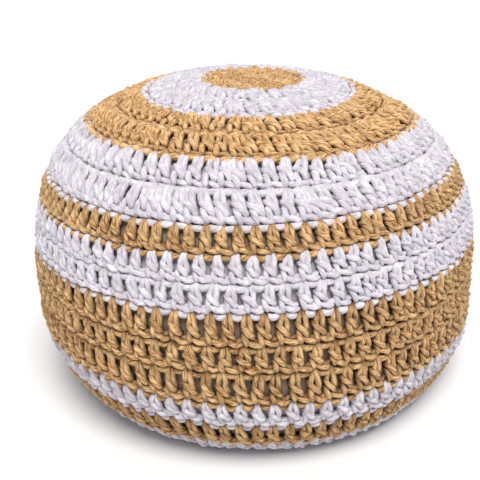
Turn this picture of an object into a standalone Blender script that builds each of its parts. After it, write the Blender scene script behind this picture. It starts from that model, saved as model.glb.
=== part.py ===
"""Round crocheted pouf, 0.45 m across and 0.30 m high.

Two pieces: a cover crocheted in one piece from thick cotton cord, in rounds
that start at the centre of the top and close under the base, and the stuffed
lining bag that the cover is worked around, which shows through the gaps
between the posts of the stitches.

Both follow one section curve, turned round an upright axis and made slightly
uneven by a few low swells. The cover is a shell with a groove between each
round and the next. In every second round of its sides it has openings through
it, one for every second stitch.
"""

import math

import bmesh
import bpy
from mathutils import Vector

# The section of the cover's outer face, in metres. Above its widest line it is
# a rounded quarter up to the top, and below it one that the floor cuts off.
WIDEST_RADIUS = 0.225
HEIGHT = 0.299
WIDEST_HEIGHT = 0.0945
SHOULDER_POWER = 2.72
SKIRT_DEPTH = 0.142
SKIRT_POWER = 2.32
SECTION_STEPS = 300

# The rounds' own axis lies this far along X from the middle of the outline.
AXIS_X = 0.002

# Low swells of the stuffed form: the angle round the axis and the distance
# along the section from the centre of the top, how far each one lifts, and how
# wide it is.
SWELLS = (
    {"place": "back left shoulder", "angle_deg": 130, "distance": 0.13, "lift": 0.004, "reach": 0.10},
    {"place": "front right shoulder", "angle_deg": -50, "distance": 0.17, "lift": -0.006, "reach": 0.10},
    {"place": "left shoulder", "angle_deg": 180, "distance": 0.20, "lift": 0.004, "reach": 0.10},
    {"place": "right shoulder", "angle_deg": 25, "distance": 0.20, "lift": -0.010, "reach": 0.07},
    {"place": "left side", "angle_deg": 180, "distance": 0.285, "lift": -0.005, "reach": 0.06},
    {"place": "front right side", "angle_deg": -30, "distance": 0.30, "lift": -0.002, "reach": 0.10},
    {"place": "lower right side", "angle_deg": -8, "distance": 0.36, "lift": -0.0035, "reach": 0.06},
    {"place": "front left foot", "angle_deg": -150, "distance": 0.42, "lift": -0.0015, "reach": 0.10},
    {"place": "front right foot", "angle_deg": -40, "distance": 0.42, "lift": -0.004, "reach": 0.07},
)
FLAT_FOOT_HEIGHT = 0.028

# The pouf leans a little: its foot lies this far along X from its widest line.
FOOT_SHIFT = 0.006

# The cover, in metres. The base is flat and its outer edge is a low chamfer.
COLUMNS = 48
COVER_THICKNESS = 0.010
GROOVE_DEPTH = 0.004
CREST_SHARE = 0.5
BASE_CORNER_HEIGHT = 0.005
BASE_EDGE_RADIUS = 0.178
LINING_CORNER_HEIGHT = 0.014

# Bands of rounds from the centre of the top down to the base. The rounds'
# heights are measured along the section. Open rounds, counted from 0 in each band, have
# the openings between their posts.
BANDS = (
    {"yarn": "tan", "round_heights": (0.0232, 0.0232), "open": ()},
    {"yarn": "white", "round_heights": (0.0256, 0.0256), "open": ()},
    {"yarn": "tan", "round_heights": (0.0329, 0.0329), "open": ()},
    {"yarn": "white", "round_heights": (0.0288, 0.0288), "open": (0,)},
    {"yarn": "tan", "round_heights": (0.0240,), "open": (0,)},
    {"yarn": "white", "round_heights": (0.0233, 0.0233), "open": (1,)},
    {"yarn": "tan", "round_heights": (0.0274, 0.0233, 0.0300), "open": (1,)},
    {"yarn": "white", "round_heights": (0.0247,), "open": (0,)},
    {"yarn": "tan", "round_heights": (0.0315,), "open": ()},
    {"yarn": "white", "round_heights": (0.0190,), "open": ()},
)

# An opening between two posts: its width, and the shares of the round's height
# at which it starts and ends, inside a flat ground with shares of its own.
OPENING_WIDTH = 0.0062
OPENING_SHARES = (0.20, 0.74)
GROUND_SHARES = (0.12, 0.84)

# The lining bag lies this far inside the cover.
LINING_CLEARANCE = 0.0005

FINISHES = {
    "tan": {"colour": (0.64, 0.38, 0.16, 1.0), "roughness": 0.90},
    "white": {"colour": (0.83, 0.79, 0.85, 1.0), "roughness": 0.90},
    "lining": {"colour": (0.30, 0.28, 0.30, 1.0), "roughness": 0.95},
}
COVER_YARNS = ("tan", "white")


def clear_scene():
    for old in list(bpy.data.objects):
        bpy.data.objects.remove(old, do_unlink=True)


def make_material(name):
    finish = FINISHES[name]
    material = bpy.data.materials.new(name)
    material.use_nodes = True
    shader = material.node_tree.nodes["Principled BSDF"]
    shader.inputs["Base Color"].default_value = finish["colour"]
    shader.inputs["Roughness"].default_value = finish["roughness"]
    shader.inputs["Metallic"].default_value = 0.0
    material.diffuse_color = finish["colour"]
    return material


def quarter_point(share, power, reach, depth):
    """A point of a rounded quarter, from its pole at share 0 to its rim at 1."""
    angle = share * math.pi / 2
    return reach * math.sin(angle) ** (2 / power), depth * math.cos(angle) ** (2 / power)


def section_points():
    """Radius and height along the section, from the centre of the top to the floor."""
    points = []
    for step in range(SECTION_STEPS + 1):
        share = step / SECTION_STEPS
        rise = HEIGHT - WIDEST_HEIGHT
        radius, above = quarter_point(share, SHOULDER_POWER, WIDEST_RADIUS, rise)
        points.append(Vector((radius, WIDEST_HEIGHT + above)))
    for step in range(SECTION_STEPS - 1, 0, -1):
        share = step / SECTION_STEPS
        radius, below = quarter_point(share, SKIRT_POWER, WIDEST_RADIUS, SKIRT_DEPTH)
        if below > WIDEST_HEIGHT:
            break
        points.append(Vector((radius, WIDEST_HEIGHT - below)))
    return points


class Form:
    """The stuffed form: the section, and the swells on the surface that it turns."""

    def __init__(self):
        self.points = section_points()
        self.distances = [0.0]
        for before, after in zip(self.points, self.points[1:]):
            self.distances.append(self.distances[-1] + (after - before).length)
        self.swells = []
        for swell in SWELLS:
            radius, height = self.profile(swell["distance"], 0.0)
            centre = self.turn(radius, height, math.radians(swell["angle_deg"]))
            self.swells.append((centre, swell["lift"], swell["reach"]))

    def profile(self, distance, inset):
        """Radius and height at a distance along the section, moved in by the inset."""
        last = len(self.points) - 1
        index = next((i for i in range(1, last) if self.distances[i] >= distance), last)
        start = self.points[index - 1]
        along = (self.points[index] - start).normalized()
        inward = Vector((along.y, -along.x))
        return start + along * (distance - self.distances[index - 1]) + inward * inset

    def distance_at(self, height):
        """The distance along the section at which it comes down to this height."""
        return next(d for p, d in zip(self.points, self.distances) if p.y <= height)

    def turn(self, radius, height, angle):
        return Vector((radius * math.cos(angle), radius * math.sin(angle), height))

    def place(self, radius, height, angle):
        """The point on the uneven form, which stays flat at its foot."""
        point = self.turn(radius, height, angle)
        outward = (point - Vector((0.0, 0.0, WIDEST_HEIGHT))).normalized()
        hold = min(1.0, max(0.0, height / FLAT_FOOT_HEIGHT))
        lean = FOOT_SHIFT * max(0.0, 1.0 - height / WIDEST_HEIGHT)
        lift = 0.0
        for centre, most, reach in self.swells:
            lift += most * math.exp(-(((point - centre).length / reach) ** 2))
        return point + outward * lift * hold + Vector((AXIS_X + lean, 0.0, 0.0))


class Body:
    """A body under construction: level lines of points, joined by strips of faces."""

    def __init__(self, form):
        self.form = form
        self.mesh = bmesh.new()

    def points_round(self, radius, height, turn=0.0):
        """One point in every column, each turned a little from the column's line."""
        step = 2 * math.pi / COLUMNS
        return [
            self.mesh.verts.new(self.form.place(radius, height, column * step + turn))
            for column in range(COLUMNS)
        ]

    def line(self, distance, inset):
        return self.points_round(*self.form.profile(distance, inset))

    def face(self, corners, yarn):
        face = self.mesh.faces.new(corners)
        face.material_index = COVER_YARNS.index(yarn) if yarn in COVER_YARNS else 0

    def strip(self, upper, lower, yarn):
        for column in range(COLUMNS):
            after = (column + 1) % COLUMNS
            self.face((upper[column], lower[column], lower[after], upper[after]), yarn)

    def cap(self, line, height, yarn):
        """A fan from a line to a point on the rounds' axis."""
        middle = self.mesh.verts.new(self.form.place(0.0, height, 0.0))
        for column in range(COLUMNS):
            self.face((line[column], line[(column + 1) % COLUMNS], middle), yarn)

    def between(self, outlines, holes, yarn):
        """Faces that join each outline of four corners to its hole."""
        for outline, hole in zip(outlines, holes):
            for corner in range(4):
                following = (corner + 1) % 4
                ring = (outline[corner], hole[corner], hole[following], outline[following])
                self.face(ring, yarn)

    def finish(self, name, materials):
        bmesh.ops.recalc_face_normals(self.mesh, faces=self.mesh.faces)
        data = bpy.data.meshes.new(name)
        self.mesh.to_mesh(data)
        self.mesh.free()
        for material in materials:
            data.materials.append(material)
        data.shade_smooth()
        data.set_sharp_from_angle(angle=math.radians(30))
        body = bpy.data.objects.new(name, data)
        bpy.context.scene.collection.objects.link(body)
        return body


def list_rounds():
    """Each round's yarn, start and height, and whether it is open."""
    rounds = []
    start = 0.0
    for band in BANDS:
        for number, height in enumerate(band["round_heights"]):
            course = {
                "yarn": band["yarn"],
                "start": start,
                "height": height,
                "open": number in band["open"],
            }
            rounds.append(course)
            start += height
    return rounds


def inside_rounds(rounds):
    """The rounds that have lines on the inside: the open ones, and every second
    one of those above and below them."""
    is_open = [number for number, course in enumerate(rounds) if course["open"]]
    return [
        course
        for number, course in enumerate(rounds)
        if course["open"] or (number % 2 == 1 and not is_open[0] < number < is_open[-1])
    ]


def share_of(course, share):
    """The distance along the section at a share of a round's height."""
    return course["start"] + share * course["height"]


def ground_lines(body, course, inset):
    return [body.line(share_of(course, share), inset) for share in GROUND_SHARES]


def open_ground(body, course, inset):
    """A round's two level lines and the openings between them, on one face."""
    upper, lower = ground_lines(body, course, inset)
    edges = []
    for share in OPENING_SHARES:
        radius, height = body.form.profile(share_of(course, share), inset)
        for side in (-1, 1):
            turn = math.pi / COLUMNS + side * OPENING_WIDTH / 2 / radius
            edges.append(body.points_round(radius, height, turn))
    upper_left, upper_right, lower_left, lower_right = edges
    holes = list(zip(upper_left, upper_right, lower_right, lower_left))
    outlines = []
    for column in range(COLUMNS):
        after = (column + 1) % COLUMNS
        outlines.append((upper[column], upper[after], lower[after], lower[column]))
    body.between(outlines, holes, course["yarn"])
    return upper, lower, holes


def outer_face(body, rounds):
    """Grooves, crests and open grounds, from the top's centre down to the base."""
    holes_of = {}
    above = None
    for course in rounds:
        yarn = course["yarn"]
        if course["open"]:
            top, bottom, holes_of[course["start"]] = open_ground(body, course, 0.0)
        else:
            top = bottom = body.line(share_of(course, CREST_SHARE), 0.0)
        if above:
            body.strip(above, top, yarn)
        else:
            body.cap(top, HEIGHT - GROOVE_DEPTH, yarn)
        if course is rounds[-1]:
            above = body.line(body.form.distance_at(BASE_CORNER_HEIGHT), 0.0)
        else:
            above = body.line(share_of(course, 1.0), GROOVE_DEPTH)
        body.strip(bottom, above, yarn)
    base_edge = body.points_round(BASE_EDGE_RADIUS, 0.0)
    body.strip(above, base_edge, rounds[-1]["yarn"])
    body.cap(base_edge, 0.0, rounds[-1]["yarn"])
    return holes_of


def close_inside(body, above, inset, yarn):
    """The inside's corner and its flat floor, below the last of its level lines."""
    corner = body.line(body.form.distance_at(LINING_CORNER_HEIGHT), inset)
    floor_edge = body.points_round(BASE_EDGE_RADIUS - COVER_THICKNESS, inset)
    body.strip(above, corner, yarn)
    body.strip(corner, floor_edge, yarn)
    body.cap(floor_edge, inset, yarn)


def build_cover(form, rounds, materials):
    body = Body(form)
    holes_of = outer_face(body, rounds)
    inset = COVER_THICKNESS
    above = None
    for course in inside_rounds(rounds):
        yarn = course["yarn"]
        if course["open"]:
            top, bottom, holes = open_ground(body, course, inset)
            body.between(holes_of[course["start"]], holes, yarn)
        else:
            top = bottom = body.line(share_of(course, CREST_SHARE), inset)
        if above:
            body.strip(above, top, yarn)
        else:
            body.cap(top, HEIGHT - inset, yarn)
        above = bottom
    close_inside(body, above, inset, rounds[-1]["yarn"])
    return body.finish("crochet_cover", [materials[yarn] for yarn in COVER_YARNS])


def build_lining_bag(form, rounds, materials):
    body = Body(form)
    inset = COVER_THICKNESS + LINING_CLEARANCE
    above = None
    for course in inside_rounds(rounds):
        if course["open"]:
            lines = ground_lines(body, course, inset)
        else:
            lines = [body.line(share_of(course, CREST_SHARE), inset)]
        for line in lines:
            if above:
                body.strip(above, line, "lining")
            else:
                body.cap(line, HEIGHT - inset, "lining")
            above = line
    close_inside(body, above, inset, "lining")
    return body.finish("lining_bag", [materials["lining"]])


clear_scene()
finishes = {name: make_material(name) for name in FINISHES}
pouf_form = Form()
pouf_rounds = list_rounds()
build_cover(pouf_form, pouf_rounds, finishes)
build_lining_bag(pouf_form, pouf_rounds, finishes)
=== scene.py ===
"""The finished look of a round crocheted pouf.

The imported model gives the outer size. Here its cover becomes real crochet:
every stitch is a set of cotton cord strands, laid round by round over the
form, in one piece for each round. The stuffed lining bag shows between them.
"""
import math

import bpy
import numpy as np
from mathutils import Matrix, Vector


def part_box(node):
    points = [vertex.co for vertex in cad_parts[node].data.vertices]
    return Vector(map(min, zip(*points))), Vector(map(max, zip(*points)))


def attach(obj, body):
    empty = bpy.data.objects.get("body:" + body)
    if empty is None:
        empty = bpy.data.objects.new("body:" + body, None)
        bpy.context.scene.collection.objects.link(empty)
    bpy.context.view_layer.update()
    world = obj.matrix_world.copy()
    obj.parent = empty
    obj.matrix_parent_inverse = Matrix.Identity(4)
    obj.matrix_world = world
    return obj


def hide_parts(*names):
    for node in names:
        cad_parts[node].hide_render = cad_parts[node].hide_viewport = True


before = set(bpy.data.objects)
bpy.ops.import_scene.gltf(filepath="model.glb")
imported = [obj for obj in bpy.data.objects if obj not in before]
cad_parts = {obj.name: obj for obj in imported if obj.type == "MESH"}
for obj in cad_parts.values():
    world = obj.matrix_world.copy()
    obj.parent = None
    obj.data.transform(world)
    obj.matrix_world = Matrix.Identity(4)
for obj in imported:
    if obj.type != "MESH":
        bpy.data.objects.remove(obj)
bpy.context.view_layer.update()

COVER_LOW, COVER_HIGH = (np.array(corner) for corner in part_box("crochet_cover"))

# The form's section, in metres: a rounded quarter above the widest line, and
# one below it that ends in a small curve onto the flat base.
WIDEST_RADIUS = (COVER_HIGH[1] - COVER_LOW[1]) / 2
HEIGHT = 0.299
WIDEST_HEIGHT = 0.0945
SHOULDER_POWER = 2.72
SKIRT_DEPTH = 0.142
SKIRT_POWER = 2.32
FOOT_HEIGHT = 0.014
FOOT_RADIUS = 0.172
QUARTER_POINTS = 301
FOOT_POINTS = 20
BASE_POINTS = 60

# The axis stands a little off the middle, and the foot leans further along X
# from the widest line down.
AXIS_X = 0.002
FOOT_SHIFT = 0.006

# Low swells of the stuffed form, as in the solids under it. Each has its angle
# round the axis in degrees, its distance along the section from the centre of
# the top, how far it lifts the surface and how far it reaches. Below the last
# height they fade out, so that the base stays flat.
SWELLS = {
    "back left shoulder": (130, 0.13, 0.004, 0.10),
    "front right shoulder": (-50, 0.17, -0.006, 0.10),
    "left shoulder": (180, 0.20, 0.004, 0.10),
    "right shoulder": (25, 0.20, -0.010, 0.07),
    "left side": (180, 0.285, -0.005, 0.06),
    "front right side": (-30, 0.30, -0.002, 0.10),
    "lower right side": (-8, 0.36, -0.0035, 0.06),
    "front left foot": (-150, 0.42, -0.0015, 0.10),
    "front right foot": (-40, 0.42, -0.004, 0.07),
}
FLAT_FOOT_HEIGHT = 0.028

# A point's depth under the surface is measured against a second surface, this
# far out of the first.
DEPTH_PROBE = 0.001

# Bands of rounds from the centre of the top, down the sides and in under the
# base: how thick the cord is against the plain stitch, how light against the
# plain yarn, and how far the band's outer edge lies off the middle. The tan
# bands on the top are lighter, and the lowest bands darker as a painted shade.
# Up to the widest, each round has 12 stitches more than the last.
BANDS = (
    {"yarn": "tan", "round_heights": (0.0232, 0.0232),
     "girth": 1.14, "tone_and_painted_shade": 1.05, "off": (0.003, 0.004)},
    {"yarn": "white", "round_heights": (0.0262, 0.0262),
     "girth": 1.20, "tone_and_painted_shade": 0.99, "off": (0.0, -0.005)},
    {"yarn": "tan", "round_heights": (0.0323, 0.0323),
     "girth": 1.05, "tone_and_painted_shade": 1.12, "off": (0.003, 0.003)},
    {"yarn": "white", "round_heights": (0.0288, 0.0288),
     "girth": 1.15, "tone_and_painted_shade": 0.99, "off": (0.0, 0.0)},
    {"yarn": "tan", "round_heights": (0.0240,),
     "girth": 1.0, "tone_and_painted_shade": 1.0, "off": (0.0, 0.0)},
    {"yarn": "white", "round_heights": (0.0233, 0.0233),
     "girth": 1.0, "tone_and_painted_shade": 0.99, "off": (0.003, 0.0)},
    {"yarn": "tan", "round_heights": (0.0274, 0.0233, 0.0300),
     "girth": 1.0, "tone_and_painted_shade": 1.0, "off": (0.006, -0.003)},
    {"yarn": "white", "round_heights": (0.0247,),
     "girth": 1.0, "tone_and_painted_shade": 0.93, "off": (0.007, -0.003)},
    {"yarn": "tan", "round_heights": (0.0345,),
     "girth": 1.0, "tone_and_painted_shade": 0.93, "off": (0.004, -0.003)},
    {"yarn": "white", "round_heights": (0.0265,),
     "girth": 1.0, "tone_and_painted_shade": 0.93, "off": (0.0, 0.0)},
)
BASE_ROUNDS = 7
STITCHES_ADDED = 12
MOST_STITCHES = 96

# The level top reaches this far down the section and fades out over the last
# part of it. Stitches lie wider there, and the cord deep between them and the
# lining are painted lighter: painted light where more light falls on the top.
LEVEL_TOP = 0.230
LEVEL_FADE = 0.067
LEVEL_SPREAD = 0.15
LEVEL_PAINTED_LIGHT = 0.48

# The small ring of cord that the first round is worked into, and how far it
# stands out from the back of the stitches.
RING_RADIUS = 0.0045
RING_LIFT = 0.002
RING_SAMPLES = 15

# One stitch, drawn flat in millimetres on a cell of this size: x runs round
# the pouf to the right, y down the surface and z out of it, and the form's
# outer face is at STITCH_OUTSIDE. Each strand has its thickness against the
# cord's, and on the level top it is lifted and its middle moved down.
CELL_WIDTH = 14.7
CELL_HEIGHT = 26.5
STITCH_OUTSIDE = 7.0
CORD_RADIUS = 2.6
STITCH = (
    {
        "strand": "left leg",
        "girth": 0.96,
        "samples": 7,
        "lift_at_top": 0.4,
        "dip_at_top": 0.0,
        "route": (
            (-1.2, -1.6, -1.8), (-1.8, 1.9, 2.4), (-2.2, 6.0, 3.3),
            (-2.6, 10.0, 2.3), (-3.0, 14.0, -0.5),
        ),
    },
    {
        "strand": "right leg",
        "girth": 0.96,
        "samples": 8,
        "lift_at_top": 0.4,
        "dip_at_top": 0.0,
        "route": (
            (1.2, -1.6, -1.8), (1.8, 1.9, 2.5), (2.3, 6.0, 3.6),
            (2.7, 10.5, 3.3), (3.0, 14.5, 1.9), (3.3, 18.5, -0.6),
        ),
    },
    {
        "strand": "wrap",
        "girth": 0.98,
        "samples": 8,
        "lift_at_top": 0.3,
        "dip_at_top": 0.0,
        "route": (
            (-5.0, 8.2, -1.4), (-4.2, 9.8, 1.6), (-2.0, 12.0, 3.9),
            (0.9, 14.5, 4.5), (3.2, 17.2, 3.5), (4.4, 19.8, 0.8),
        ),
    },
    {
        "strand": "post",
        "girth": 0.96,
        "samples": 6,
        "lift_at_top": 0.6,
        "dip_at_top": 0.0,
        "route": (
            (-3.8, 13.0, 0.3), (-3.2, 16.8, 3.0), (-2.4, 21.0, 3.7),
            (-1.6, 24.6, 0.9),
        ),
    },
    {
        "strand": "front loop",
        "girth": 0.88,
        "samples": 8,
        "lift_at_top": -2.0,
        "dip_at_top": 0.0,
        "route": (
            (-1.6, 19.8, 0.5), (0.8, 21.4, 3.2), (4.0, 22.8, 4.5),
            (7.2, 23.5, 4.1), (10.0, 23.8, 2.2), (12.0, 23.8, -0.8),
        ),
    },
    {
        "strand": "link",
        "girth": 0.90,
        "samples": 5,
        "lift_at_top": -2.2,
        "dip_at_top": 0.0,
        "route": (
            (3.6, 21.6, 0.4), (6.4, 21.0, 1.6), (9.2, 20.3, 1.5),
            (11.9, 19.4, 0.0),
        ),
    },
)
# The back loop of the round above, which shows between this round's stitches.
BACK_LOOP = {
    "strand": "back loop",
    "girth": 1.10,
    "samples": 6,
    "lift_at_top": 1.1,
    "dip_at_top": -0.4,
    "route": (
        (1.0, 1.2, -1.2), (4.0, 2.2, 1.5), (7.35, 2.6, 3.4),
        (10.7, 2.1, 1.5), (13.7, 1.1, -1.2),
    ),
}
# A strand's thickness at its ends, against its middle.
STRAND_END = 0.8
# By this share of its height a stitch has moved over to its own place, from
# the head that it is worked into.
PLACED_SHARE = 0.9
# Stitches keep this far from the centres of the top and the base.
CENTRE_MARGIN = 0.001

# Each round's stitches start a little to the left of those they are worked
# into. Where a round grows, two stitches start side by side in one of them.
ROUND_DRIFT = -0.22
PAIR_SPREAD = 0.22

# The unevenness of hand work: of a strand's points and the lines between
# rounds in millimetres, of a stitch's lean and width, and of the cord.
POINT_JITTER = 0.42
LINE_JITTER = (0.6, 0.6, 0.4)
LEAN_JITTER = 0.05
WIDTH_JITTER = 0.06
GIRTH_JITTER = 0.05
SEED = 7

# The lining bag lies this far inside the form's outer face.
LINING_INSET = 0.0088
LINING_SEGMENTS = 160
LINING_RINGS = 90

# How far under the form's outer face the cord's painted shade starts, and how
# far under it is darkest: painted shade deep between the stitches. A round's
# strands reach this far past it up and down.
PAINTED_SHADE_DEPTHS = {"tan": (0.0011, 0.0058), "white": (0.0026, 0.0086)}
REACH_UP = 0.030
REACH_DOWN = 0.040

# Colours as linear red, green and blue: the cord, the painted shade in the
# grooves between its fibres, and the painted shade on the cord deep between
# the stitches. The lining's colour goes by the yarn that it shows through.
TAN = {
    "cord": (0.76, 0.505, 0.255),
    "groove": (0.27, 0.105, 0.016),
    "painted_deep_shade": (0.060, 0.0125, 0.001),
}
WHITE = {
    "cord": (0.77, 0.725, 0.79),
    "groove": (0.54, 0.50, 0.54),
    "painted_deep_shade": (0.61, 0.575, 0.61),
}
# Under the tan rounds the lining is painted darker and browner, a painted shade.
LININGS_WITH_PAINTED_SHADE = {"tan": (0.34, 0.235, 0.175), "white": (0.50, 0.455, 0.47)}

# Fibres on each strand: how many round it, how far they wind, how often they
# fade along it and how fast they change from place to place. Then the noise
# that draws them, and where in it the painted groove shade ends and the cord
# is full.
FIBRES_ROUND = 11.0
FIBRE_TWIST = 6.5
FIBRE_BREAKS = 2.5
FIBRE_SPREAD = (90.0, 70.0, 60.0)
FIBRE_DETAIL = 2.0
FIBRE_ROUGHNESS = 0.6
GROOVE_END = 0.32
CORD_FULL = 0.58

# Small patches of the yarn differ in lightness and hue. The noise that draws
# them stays mostly in the middle of its own range.
SHADE_SCALE = 110.0
SHADE_RANGE = (0.84, 1.16)
HUE_RANGE = (0.494, 0.505)
NOISE_RANGE = (0.3, 0.7)

# The surfaces: roughness and sheen, and the strength and height in metres of
# the fine relief.
CORD_SURFACE = (0.9, 0.05)
CLOTH_SURFACE = (0.95, 0.1)
FLOOR_SURFACE = (0.9, 0.0)
SHEEN_ROUGHNESS = 0.5
SPECULAR = 0.15
FIBRE_RELIEF = (0.7, 0.0016)
WEAVE_RELIEF = (0.3, 0.0005)
WEAVE_SCALE = 900.0

# The floor lies just under the pouf.
FLOOR_SIZE = 40.0
FLOOR_HEIGHT = -0.0005
FLOOR_GREY = 0.87

# The light: an even pale sky and one broad lamp above, towards the camera.
SKY_STRENGTH = 0.38
BACKDROP_STRENGTH = 1.0
LAMP_STRENGTH = 3.0
LAMP_SPREAD = math.radians(30)
LAMP_TURN = (math.radians(26), math.radians(6), 0.0)

# The camera: its aim on the pouf's axis, its distance and height above the
# horizon, and how far it is rolled.
AIM_HEIGHT = 0.120
CAMERA_DISTANCE = 0.783
CAMERA_ELEVATION = math.radians(23.64)
CAMERA_ROLL = math.radians(-1.78)
CAMERA_LENS = 55.6
CAMERA_SENSOR = 36.0
CAMERA_SHIFT = (-0.0327, 0.0152)


# ---------------------------------------------------------------- the form


def rounded_quarter(shares, power, reach, depth):
    """Points of a rounded quarter, from its pole at share 0 to its rim at 1."""
    angles = shares * math.pi / 2
    across = reach * np.sin(angles) ** (2 / power)
    upward = depth * np.cos(angles) ** (2 / power)
    return np.stack([across, upward], axis=1)


def section_points():
    """Radius and height from the centre of the top, down the side, round the
    foot and in to the centre of the base."""
    shares = np.linspace(0, 1, QUARTER_POINTS)
    shoulder = rounded_quarter(shares, SHOULDER_POWER, WIDEST_RADIUS, HEIGHT - WIDEST_HEIGHT)
    shoulder[:, 1] += WIDEST_HEIGHT
    skirt = rounded_quarter(shares[::-1], SKIRT_POWER, WIDEST_RADIUS, SKIRT_DEPTH)[1:]
    skirt[:, 1] = WIDEST_HEIGHT - skirt[:, 1]
    skirt = skirt[skirt[:, 1] > FOOT_HEIGHT]
    start, end = skirt[-1], np.array([FOOT_RADIUS, 0.0])
    slope = (skirt[-1] - skirt[-4]) / np.linalg.norm(skirt[-1] - skirt[-4])
    corner = start + slope * (end[1] - start[1]) / slope[1]
    turn = np.linspace(0, 1, FOOT_POINTS)[1:, None]
    foot = start * (1 - turn) ** 2 + corner * 2 * turn * (1 - turn) + end * turn**2
    inward = np.linspace(FOOT_RADIUS, 0, BASE_POINTS)[1:]
    base = np.stack([inward, np.zeros(len(inward))], axis=1)
    return np.concatenate([shoulder, skirt, foot, base])


def leaning(heights):
    """How far along X the form's middle lies at each height."""
    return AXIS_X + FOOT_SHIFT * np.clip(1 - heights / WIDEST_HEIGHT, 0, 1)


class Form:
    """The stuffed form's outer surface, read by turns round its axis and by
    the distance along its section."""

    def __init__(self):
        points = section_points()
        steps = np.linalg.norm(np.diff(points, axis=0), axis=1)
        self.distances = np.concatenate([[0.0], np.cumsum(steps)])
        self.points = points
        along = np.gradient(points, self.distances, axis=0)
        along /= np.linalg.norm(along, axis=1, keepdims=True)
        self.outward = np.stack([-along[:, 1], along[:, 0]], axis=1)
        self.length = self.distances[-1]
        # Where each band ends, and how far off the middle it lies there.
        edges = np.cumsum([0.0] + [sum(band["round_heights"]) for band in BANDS])
        offs = np.array([BANDS[0]["off"]] + [band["off"] for band in BANDS])
        self.offs = (edges, *offs.T)
        self.swells = []
        for degrees, distance, lift, reach in SWELLS.values():
            turns = np.array([math.radians(degrees) / (2 * math.pi)])
            centre = self.even(turns, np.array([distance]), np.zeros(1))[0]
            self.swells.append((centre, lift, reach))

    def even(self, turns, distances, out):
        """Points on the form before its swells, moved out of its surface."""
        radius, height, radial, upward = (
            np.interp(distances, self.distances, column)
            for column in (*self.points.T, *self.outward.T)
        )
        radius = radius + out * radial
        height = height + out * upward
        angles = turns * 2 * math.pi
        return np.stack([radius * np.cos(angles), radius * np.sin(angles), height], axis=-1)

    def uneven(self, points):
        """Points on the even form, moved to where the swells carry them."""
        outward = points - np.array([0.0, 0.0, WIDEST_HEIGHT])
        outward /= np.linalg.norm(outward, axis=-1, keepdims=True)
        lift = np.zeros(points.shape[:-1])
        for centre, most, reach in self.swells:
            gap = np.linalg.norm(points - centre, axis=-1)
            lift += most * np.exp(-((gap / reach) ** 2))
        lift *= np.clip(points[..., 2] / FLAT_FOOT_HEIGHT, 0, 1)
        lean = leaning(points[..., 2])
        return points + outward * lift[..., None] + lean[..., None] * np.array([1.0, 0.0, 0.0])

    def place(self, turns, distances, out):
        """Points on the uneven form, moved out of its surface. A band off the
        middle is moved sideways on the level top; on the sides it only slopes."""
        edges, off_across, off_back = self.offs
        angles = turns * 2 * math.pi
        across = distances * np.cos(angles) + np.interp(distances, edges, off_across)
        back = distances * np.sin(angles) + np.interp(distances, edges, off_back)
        swung = np.arctan2(back, across) / (2 * math.pi)
        turns = np.where(distances < LEVEL_TOP, swung, turns)
        return self.uneven(self.even(turns, np.hypot(across, back), out))

    def depth(self, points, nearby):
        """How far points lie under the form's surface, near a stretch of its
        section."""
        across = points[:, 0] - leaning(points[:, 2])
        turns = np.arctan2(points[:, 1], across) / (2 * math.pi)
        steps = np.flatnonzero((self.distances > nearby[0]) & (self.distances < nearby[1]))
        flat = np.stack([np.hypot(across, points[:, 1]), points[:, 2]], axis=1)
        gaps = np.linalg.norm(flat[:, None] - self.points[steps][None], axis=2)
        distances = self.distances[steps[np.argmin(gaps, axis=1)]]
        surface, outside = (
            self.uneven(self.even(turns, distances, np.full(len(points), out)))
            for out in (0.0, DEPTH_PROBE)
        )
        return np.sum((surface - points) * (outside - surface), axis=1) / DEPTH_PROBE


def list_rounds(form):
    """Each round's yarn, stitches, start and height, from top to base centre."""
    rounds = []
    start = 0.0
    for band in BANDS:
        for height in band["round_heights"]:
            stitches = min(MOST_STITCHES, STITCHES_ADDED * (len(rounds) + 1))
            cord = {key: band[key] for key in ("yarn", "girth", "tone_and_painted_shade")}
            rounds.append({**cord, "stitches": stitches, "start": start, "height": height})
            start += height
    # The base goes on in the last band's cord.
    height = (form.length - start) / BASE_ROUNDS
    for number in range(BASE_ROUNDS):
        stitches = MOST_STITCHES - STITCHES_ADDED * (number + 1)
        rounds.append({**cord, "stitches": stitches, "start": start, "height": height})
        start += height
    return rounds


def level(start):
    """How much of the level top's finish a round takes, from where it starts."""
    return float(np.clip((LEVEL_TOP - start) / LEVEL_FADE, 0, 1))


# ------------------------------------------------------------- the crochet


class Line:
    """A line between two rounds, with the small unevenness of hand work."""

    def __init__(self, rng, stitches):
        self.spots = np.linspace(0, 1, stitches + 1)
        shifts = rng.normal(0, 1, (stitches, 3)) * np.array(LINE_JITTER)
        self.shifts = np.concatenate([shifts, shifts[:1]])

    def at(self, turns):
        """How far the line is shifted at each place round it."""
        columns = [np.interp(turns % 1, self.spots, shifts) for shifts in self.shifts.T]
        return np.stack(columns, axis=-1)


def smooth_route(points, samples):
    """Each route, shape (stitches, points, 3), as samples on a smooth curve."""
    ends = (2 * points[:, :1] - points[:, 1:2], 2 * points[:, -1:] - points[:, -2:-1])
    padded = np.concatenate([ends[0], points, ends[1]], axis=1)
    spans = points.shape[1] - 1
    where = np.linspace(0, spans, samples)
    index = np.minimum(where.astype(int), spans - 1)
    t = (where - index)[None, :, None]
    a, b, c, d = (padded[:, index + k] for k in range(4))
    square = 2 * a - 5 * b + 4 * c - d
    cube = 3 * b - a - 3 * c + d
    return 0.5 * (2 * b + (c - a) * t + square * t**2 + cube * t**3)


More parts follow.
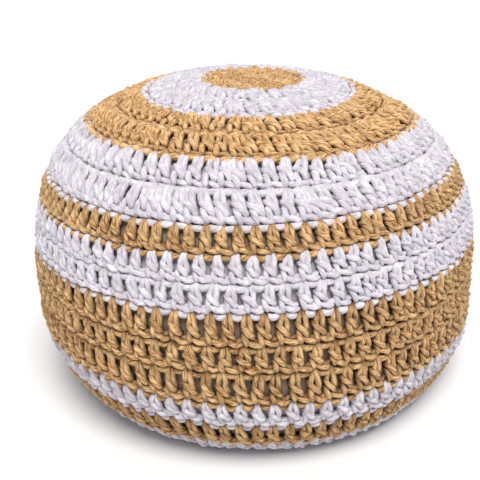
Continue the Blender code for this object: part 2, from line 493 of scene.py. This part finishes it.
def stitch_places(rng, stitches, heads, turned):
    """Where a round's stitches start and end, in turns, worked into the round
    above with its count of heads. Each part of a round that grows has one
    head that takes two stitches."""
    ends = np.arange(stitches) / stitches + turned
    if not 0 < heads < stitches:
        return ends, ends
    group = stitches // STITCHES_ADDED
    number = np.arange(stitches)
    part, place = number // group, number % group
    pair = rng.integers(0, group - 1, STITCHES_ADDED)[part]
    head = part * (group - 1) + place - (place > pair)
    spread = PAIR_SPREAD * ((place == pair + 1) * 1.0 - (place == pair))
    return (head + spread) / heads + turned, ends


def lay_strand(form, strand, course, places, edges, rng):
    """One strand of every stitch in a round: its points on the form, in metres."""
    starts, ends = places
    above, below = edges
    count = len(ends)
    top = level(course["start"])
    cells = np.repeat(np.array(strand["route"])[None], count, axis=0)
    cells[..., 0] *= 1 + LEVEL_SPREAD * top + rng.normal(0, WIDTH_JITTER, (count, 1))
    cells[..., 0] += cells[..., 1] * course["leans"][:count]
    cells[..., 1] += strand["dip_at_top"] * top * np.sin(np.linspace(0, math.pi, cells.shape[1]))
    cells[..., 2] += strand["lift_at_top"] * top
    cells = cells + rng.normal(0, POINT_JITTER, cells.shape)
    cells = smooth_route(cells, strand["samples"])
    down = cells[..., 1] / CELL_HEIGHT
    along = np.clip(down / PLACED_SHARE, 0, 1)
    shift = above.at(starts)[:, None] * (1 - down[..., None])
    shift = shift + below.at(ends)[:, None] * down[..., None]
    widths = (1 - along) / (course["heads"] or count) + along / count
    turns = starts[:, None] * (1 - along) + ends[:, None] * along
    turns = turns + (cells[..., 0] + shift[..., 0]) / CELL_WIDTH * widths
    distances = course["start"] + down * course["height"] + shift[..., 1] / 1000
    distances = np.clip(distances, CENTRE_MARGIN, form.length - CENTRE_MARGIN)
    out = (cells[..., 2] + shift[..., 2] - STITCH_OUTSIDE) / 1000
    return form.place(turns, distances, out)


def ring_of_cord(form, distance):
    """A small ring round the centre of the top or the base."""
    turns = np.linspace(0, 1, RING_SAMPLES)[None]
    out = np.full(turns.shape, RING_LIFT - STITCH_OUTSIDE / 1000)
    return form.place(turns, np.full(turns.shape, distance), out)


def add_strands(curve, points, girth, rng):
    """Adds each row of points to the curve as one strand of cord."""
    count, samples = points.shape[:2]
    ends = np.array([STRAND_END] + [1.0] * (samples - 2) + [STRAND_END])
    thickness = girth * (1 + rng.normal(0, GIRTH_JITTER, (count, 1))) * ends
    rows = np.concatenate([points, np.ones((count, samples, 1))], axis=2)
    for row, radii in zip(rows, thickness):
        strand = curve.splines.new("POLY")
        strand.points.add(samples - 1)
        strand.points.foreach_set("co", row.ravel())
        strand.points.foreach_set("radius", radii)
        strand.use_smooth = True


def write_painted_shade(piece, form, course):
    """Keeps the cord above the floor, and gives each point its share of painted
    shade deep between the stitches, from 0 to 1, and its round's tone with its
    painted shade."""
    count = len(piece.data.vertices)
    points = np.empty(count * 3)
    piece.data.vertices.foreach_get("co", points)
    points = points.reshape(-1, 3)
    points[:, 2] = np.maximum(points[:, 2], 0.0)
    piece.data.vertices.foreach_set("co", points.ravel())
    start, end = course["start"], course["start"] + course["height"]
    # The cord deep under the form's surface gets a painted shade.
    depths = form.depth(points, (start - REACH_UP, end + REACH_DOWN))
    first, last = PAINTED_SHADE_DEPTHS[course["yarn"]]
    shares = np.clip((depths - first) / (last - first), 0, 1)
    # On the level top the painted shade is weaker, a painted light.
    shares = shares * (1 - LEVEL_PAINTED_LIGHT * level(start))
    for name, values in (("depth", shares), ("tone_and_painted_shade", np.full(count, course["tone_and_painted_shade"]))):
        layer = piece.data.attributes.new(name, "FLOAT", "POINT")
        layer.data.foreach_set("value", values)
    piece.data.update()


def cord_piece(name, strands, form, course, rng):
    """Makes a piece of strands of cord, each with closed ends."""
    curve = bpy.data.curves.new(name, "CURVE")
    curve.dimensions = "3D"
    curve.bevel_depth = CORD_RADIUS / 1000
    curve.bevel_resolution = 1
    curve.use_fill_caps = True
    for points, girth in strands:
        add_strands(curve, points, girth, rng)
    piece = bpy.data.objects.new(name, curve)
    bpy.context.scene.collection.objects.link(piece)
    bpy.ops.object.select_all(action="DESELECT")
    piece.select_set(True)
    bpy.context.view_layer.objects.active = piece
    bpy.ops.object.convert(target="MESH")
    piece = bpy.context.object
    bpy.ops.object.mode_set(mode="EDIT")
    bpy.ops.mesh.select_all(action="SELECT")
    bpy.ops.mesh.remove_doubles(threshold=1e-6)
    bpy.ops.object.mode_set(mode="OBJECT")
    bpy.ops.object.shade_smooth()
    write_painted_shade(piece, form, course)
    piece.data.materials.clear()
    piece.data.materials.append(YARNS[course["yarn"]])
    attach(piece, "root")
    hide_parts("crochet_cover")


def crochet_cover(form):
    """Works the rounds one after another, and makes each of them a piece. The
    back loops of a round's heads are laid with the round that holds them."""
    rng = np.random.default_rng(SEED)
    rounds = list_rounds(form)
    lines = [Line(rng, course["stitches"]) for course in rounds]
    lines.append(Line(rng, STITCHES_ADDED))
    strands = [[] for _ in rounds]
    turned = 0.0
    heads = 0
    for number, course in enumerate(rounds):
        stitches = course["stitches"]
        course["heads"] = heads
        course["leans"] = rng.normal(0, LEAN_JITTER, (max(stitches, heads), 1))
        places = stitch_places(rng, stitches, heads, turned)
        edges = lines[number], lines[number + 1]
        for strand in STITCH:
            points = lay_strand(form, strand, course, places, edges, rng)
            strands[number].append((points, strand["girth"] * course["girth"]))
        if number:
            held = np.arange(heads) / heads + turned
            points = lay_strand(form, BACK_LOOP, course, (held, held), edges, rng)
            strands[number - 1].append((points, BACK_LOOP["girth"] * course["girth"]))
        heads = stitches
        turned += ROUND_DRIFT / stitches
    strands[0].append((ring_of_cord(form, RING_RADIUS), 1.0))
    strands[-1].append((ring_of_cord(form, form.length - RING_RADIUS), 1.0))
    for number, course in enumerate(rounds):
        cord_piece(f"crochet_round_{number + 1:02d}", strands[number], form, course, rng)


# -------------------------------------------------------------- the lining


def lining_colours(distances):
    """The lining's colour at distances along the section: that of the band over it,
    with a darker brown painted shade under the tan bands and painted light on
    the level top."""
    edges = np.cumsum([sum(band["round_heights"]) for band in BANDS])
    lightness = 1 + LEVEL_PAINTED_LIGHT * np.array([level(edge) for edge in edges])
    colours = np.array([(*LININGS_WITH_PAINTED_SHADE[band["yarn"]], 1) for band in BANDS]) * lightness[:, None]
    return colours[np.minimum(np.searchsorted(edges, distances), len(BANDS) - 1)]


def lining_bag(form):
    """The stuffed bag, a ball of even rings pressed to the inside of the cover."""
    bpy.ops.object.select_all(action="DESELECT")
    bpy.ops.mesh.primitive_uv_sphere_add(
        segments=LINING_SEGMENTS, ring_count=LINING_RINGS, radius=1.0
    )
    bag = bpy.context.object
    bag.name = bag.data.name = "lining_bag_cloth"
    count = len(bag.data.vertices)
    ball = np.empty(count * 3)
    bag.data.vertices.foreach_get("co", ball)
    ball = ball.reshape(-1, 3)
    turns = np.arctan2(ball[:, 1], ball[:, 0]) / (2 * math.pi)
    distances = form.length * np.arccos(np.clip(ball[:, 2], -1, 1)) / math.pi
    points = form.place(turns, distances, np.full(count, -LINING_INSET))
    bag.data.vertices.foreach_set("co", points.ravel())
    # The bag's colour holds the painted shade by band and the painted light on the top.
    layer = bag.data.attributes.new("colour", "FLOAT_COLOR", "POINT")
    layer.data.foreach_set("color", lining_colours(distances).ravel())
    bag.data.update()
    bpy.ops.object.shade_smooth()
    bag.data.materials.append(lining_cloth_with_painted_shade())
    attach(bag, "root")
    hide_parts("lining_bag")


# ------------------------------------------------------------- the finishes


def soft_finish(name, roughness, sheen):
    """A new material with a soft dull surface, its node tree and its shader."""
    material = bpy.data.materials.new(name)
    material.use_nodes = True
    tree = material.node_tree
    shader = tree.nodes["Principled BSDF"]
    shader.inputs["Roughness"].default_value = roughness
    shader.inputs["Sheen Weight"].default_value = sheen
    shader.inputs["Sheen Roughness"].default_value = SHEEN_ROUGHNESS
    shader.inputs["Specular IOR Level"].default_value = SPECULAR
    return material, tree, shader


def painted(tree, name):
    """A node that reads the values painted on a piece's points under a name."""
    node = tree.nodes.new("ShaderNodeAttribute")
    node.attribute_name = name
    return node


def fine_relief(tree, shader, height, strength, distance):
    """Gives the shader's surface a fine relief."""
    bump = tree.nodes.new("ShaderNodeBump")
    bump.inputs["Strength"].default_value = strength
    bump.inputs["Distance"].default_value = distance
    tree.links.new(height, bump.inputs["Height"])
    tree.links.new(bump.outputs["Normal"], shader.inputs["Normal"])


def colour_sockets(mix):
    """A mix node's sockets for colours: its factor, both colours and its result."""
    colours = [socket for socket in mix.inputs if socket.type == "RGBA"]
    results = [socket for socket in mix.outputs if socket.type == "RGBA"]
    return mix.inputs["Factor"], colours[0], colours[1], results[0]


def cord_fibres(tree, coordinates):
    """Fine fibres that wind along each strand, as a height from 0 to 1."""
    nodes, links = tree.nodes, tree.links
    where = nodes.new("ShaderNodeCombineXYZ")
    for axis, source, weights in (
        ("X", "UV", (FIBRE_BREAKS, 0.0, 0.0)),
        ("Y", "UV", (FIBRE_TWIST, FIBRES_ROUND, 0.0)),
        ("Z", "Object", FIBRE_SPREAD),
    ):
        total = nodes.new("ShaderNodeVectorMath")
        total.operation = "DOT_PRODUCT"
        total.inputs[1].default_value = weights
        links.new(coordinates.outputs[source], total.inputs[0])
        links.new(total.outputs["Value"], where.inputs[axis])
    fibres = nodes.new("ShaderNodeTexNoise")
    fibres.inputs["Scale"].default_value = 1.0
    fibres.inputs["Detail"].default_value = FIBRE_DETAIL
    fibres.inputs["Roughness"].default_value = FIBRE_ROUGHNESS
    links.new(where.outputs["Vector"], fibres.inputs["Vector"])
    return fibres.outputs["Fac"]


def cord_colour(tree, fibres, colours_of):
    """The cord's colour, with painted shade in the grooves between its fibres and
    painted shade deep between the stitches."""
    nodes, links = tree.nodes, tree.links
    ramp = nodes.new("ShaderNodeValToRGB")
    groove, cord = ramp.color_ramp.elements
    groove.position = GROOVE_END
    groove.color = (*colours_of["groove"], 1)
    cord.position = CORD_FULL
    cord.color = (*colours_of["cord"], 1)
    links.new(fibres, ramp.inputs["Fac"])
    deepen = nodes.new("ShaderNodeMix")
    deepen.data_type = "RGBA"
    factor, shallow, painted_deep_shade, mixed = colour_sockets(deepen)
    links.new(painted(tree, "depth").outputs["Fac"], factor)
    links.new(ramp.outputs["Color"], shallow)
    painted_deep_shade.default_value = (*colours_of["painted_deep_shade"], 1)
    return mixed


def uneven_shade(tree, coordinates, colour):
    """A colour that differs a little from patch to patch, and in lightness from
    round to round, with painted shade on the lowest rounds."""
    nodes, links = tree.nodes, tree.links
    patches = nodes.new("ShaderNodeTexNoise")
    patches.inputs["Scale"].default_value = SHADE_SCALE
    links.new(coordinates.outputs["Object"], patches.inputs["Vector"])
    parts = nodes.new("ShaderNodeSeparateColor")
    links.new(patches.outputs["Color"], parts.inputs["Color"])
    ranges = []
    for part, (least, most) in (("Red", SHADE_RANGE), ("Green", HUE_RANGE)):
        spread = nodes.new("ShaderNodeMapRange")
        spread.inputs["From Min"].default_value = NOISE_RANGE[0]
        spread.inputs["From Max"].default_value = NOISE_RANGE[1]
        spread.inputs["To Min"].default_value = least
        spread.inputs["To Max"].default_value = most
        links.new(parts.outputs[part], spread.inputs["Value"])
        ranges.append(spread.outputs["Result"])
    lightness = nodes.new("ShaderNodeMath")
    lightness.operation = "MULTIPLY"
    links.new(ranges[0], lightness.inputs[0])
    links.new(painted(tree, "tone_and_painted_shade").outputs["Fac"], lightness.inputs[1])
    vary = nodes.new("ShaderNodeHueSaturation")
    links.new(ranges[1], vary.inputs["Hue"])
    links.new(lightness.outputs["Value"], vary.inputs["Value"])
    links.new(colour, vary.inputs["Color"])
    return vary.outputs["Color"]


def cotton_cord(name, colours_of):
    """Soft twisted cotton in slightly uneven shades, with painted shade in its
    fibre grooves and deep between the stitches.
    """
    material, tree, shader = soft_finish(name, *CORD_SURFACE)
    coordinates = tree.nodes.new("ShaderNodeTexCoord")
    fibres = cord_fibres(tree, coordinates)
    colour = uneven_shade(tree, coordinates, cord_colour(tree, fibres, colours_of))
    tree.links.new(colour, shader.inputs["Base Color"])
    fine_relief(tree, shader, fibres, *FIBRE_RELIEF)
    return material


def lining_cloth_with_painted_shade():
    """Grey cotton, with a darker brown painted shade under the tan rounds and
    painted light on the level top.
    """
    material, tree, shader = soft_finish("lining_cloth_with_painted_shade", *CLOTH_SURFACE)
    tree.links.new(painted(tree, "colour").outputs["Color"], shader.inputs["Base Color"])
    coordinates = tree.nodes.new("ShaderNodeTexCoord")
    weave = tree.nodes.new("ShaderNodeTexNoise")
    weave.inputs["Scale"].default_value = WEAVE_SCALE
    tree.links.new(coordinates.outputs["Object"], weave.inputs["Vector"])
    fine_relief(tree, shader, weave.outputs["Fac"], *WEAVE_RELIEF)
    return material


# Each yarn's material holds painted shade in its fibre grooves and deep between the stitches.
YARNS = {
    "tan": cotton_cord("tan_cord_with_painted_shade", TAN),
    "white": cotton_cord("white_cord_with_painted_shade", WHITE),
}


# ------------------------------------------------- floor, light and camera


def pale_floor():
    """A wide pale floor under the pouf."""
    bpy.ops.object.select_all(action="DESELECT")
    bpy.ops.mesh.primitive_plane_add(size=FLOOR_SIZE, location=(0.0, 0.0, FLOOR_HEIGHT))
    floor = bpy.context.object
    floor.name = "floor"
    material, _, shader = soft_finish("floor_paint", *FLOOR_SURFACE)
    shader.inputs["Base Color"].default_value = (FLOOR_GREY, FLOOR_GREY, FLOOR_GREY, 1)
    floor.data.materials.append(material)


def soft_light():
    """An even sky that looks brighter than it shines, and a broad lamp."""
    world = bpy.data.worlds.new("studio")
    bpy.context.scene.world = world
    world.use_nodes = True
    nodes, links = world.node_tree.nodes, world.node_tree.links
    background = nodes["Background"]
    background.inputs["Color"].default_value = (1.0, 1.0, 1.0, 1)
    seen = nodes.new("ShaderNodeLightPath")
    strength = nodes.new("ShaderNodeMapRange")
    strength.inputs["To Min"].default_value = SKY_STRENGTH
    strength.inputs["To Max"].default_value = BACKDROP_STRENGTH
    links.new(seen.outputs["Is Camera Ray"], strength.inputs["Value"])
    links.new(strength.outputs["Result"], background.inputs["Strength"])
    data = bpy.data.lights.new("soft_overhead", "SUN")
    data.energy = LAMP_STRENGTH
    data.angle = LAMP_SPREAD
    lamp = bpy.data.objects.new("soft_overhead", data)
    lamp.rotation_euler = LAMP_TURN
    bpy.context.scene.collection.objects.link(lamp)


def camera():
    """The camera turns round its aim by the elevation, and then by the roll."""
    data = bpy.data.cameras.new("camera")
    data.lens = CAMERA_LENS
    data.sensor_width = CAMERA_SENSOR
    data.shift_x, data.shift_y = CAMERA_SHIFT
    eye = bpy.data.objects.new("camera", data)
    back = Vector((0.0, -math.cos(CAMERA_ELEVATION), math.sin(CAMERA_ELEVATION)))
    up = Vector((0.0, math.sin(CAMERA_ELEVATION), math.cos(CAMERA_ELEVATION)))
    side = Vector((1.0, 0.0, 0.0))
    roll = Matrix.Rotation(-CAMERA_ROLL, 3, "Y")
    axes = Matrix((roll @ side, roll @ up, roll @ back)).transposed()
    place = Vector((AXIS_X, 0.0, AIM_HEIGHT)) + roll @ back * CAMERA_DISTANCE
    eye.matrix_world = Matrix.Translation(place) @ axes.to_4x4()
    bpy.context.scene.collection.objects.link(eye)
    bpy.context.scene.camera = eye


pouf_form = Form()
crochet_cover(pouf_form)
lining_bag(pouf_form)
pale_floor()
soft_light()
camera()
bpy.context.scene.view_settings.view_transform = "Standard"
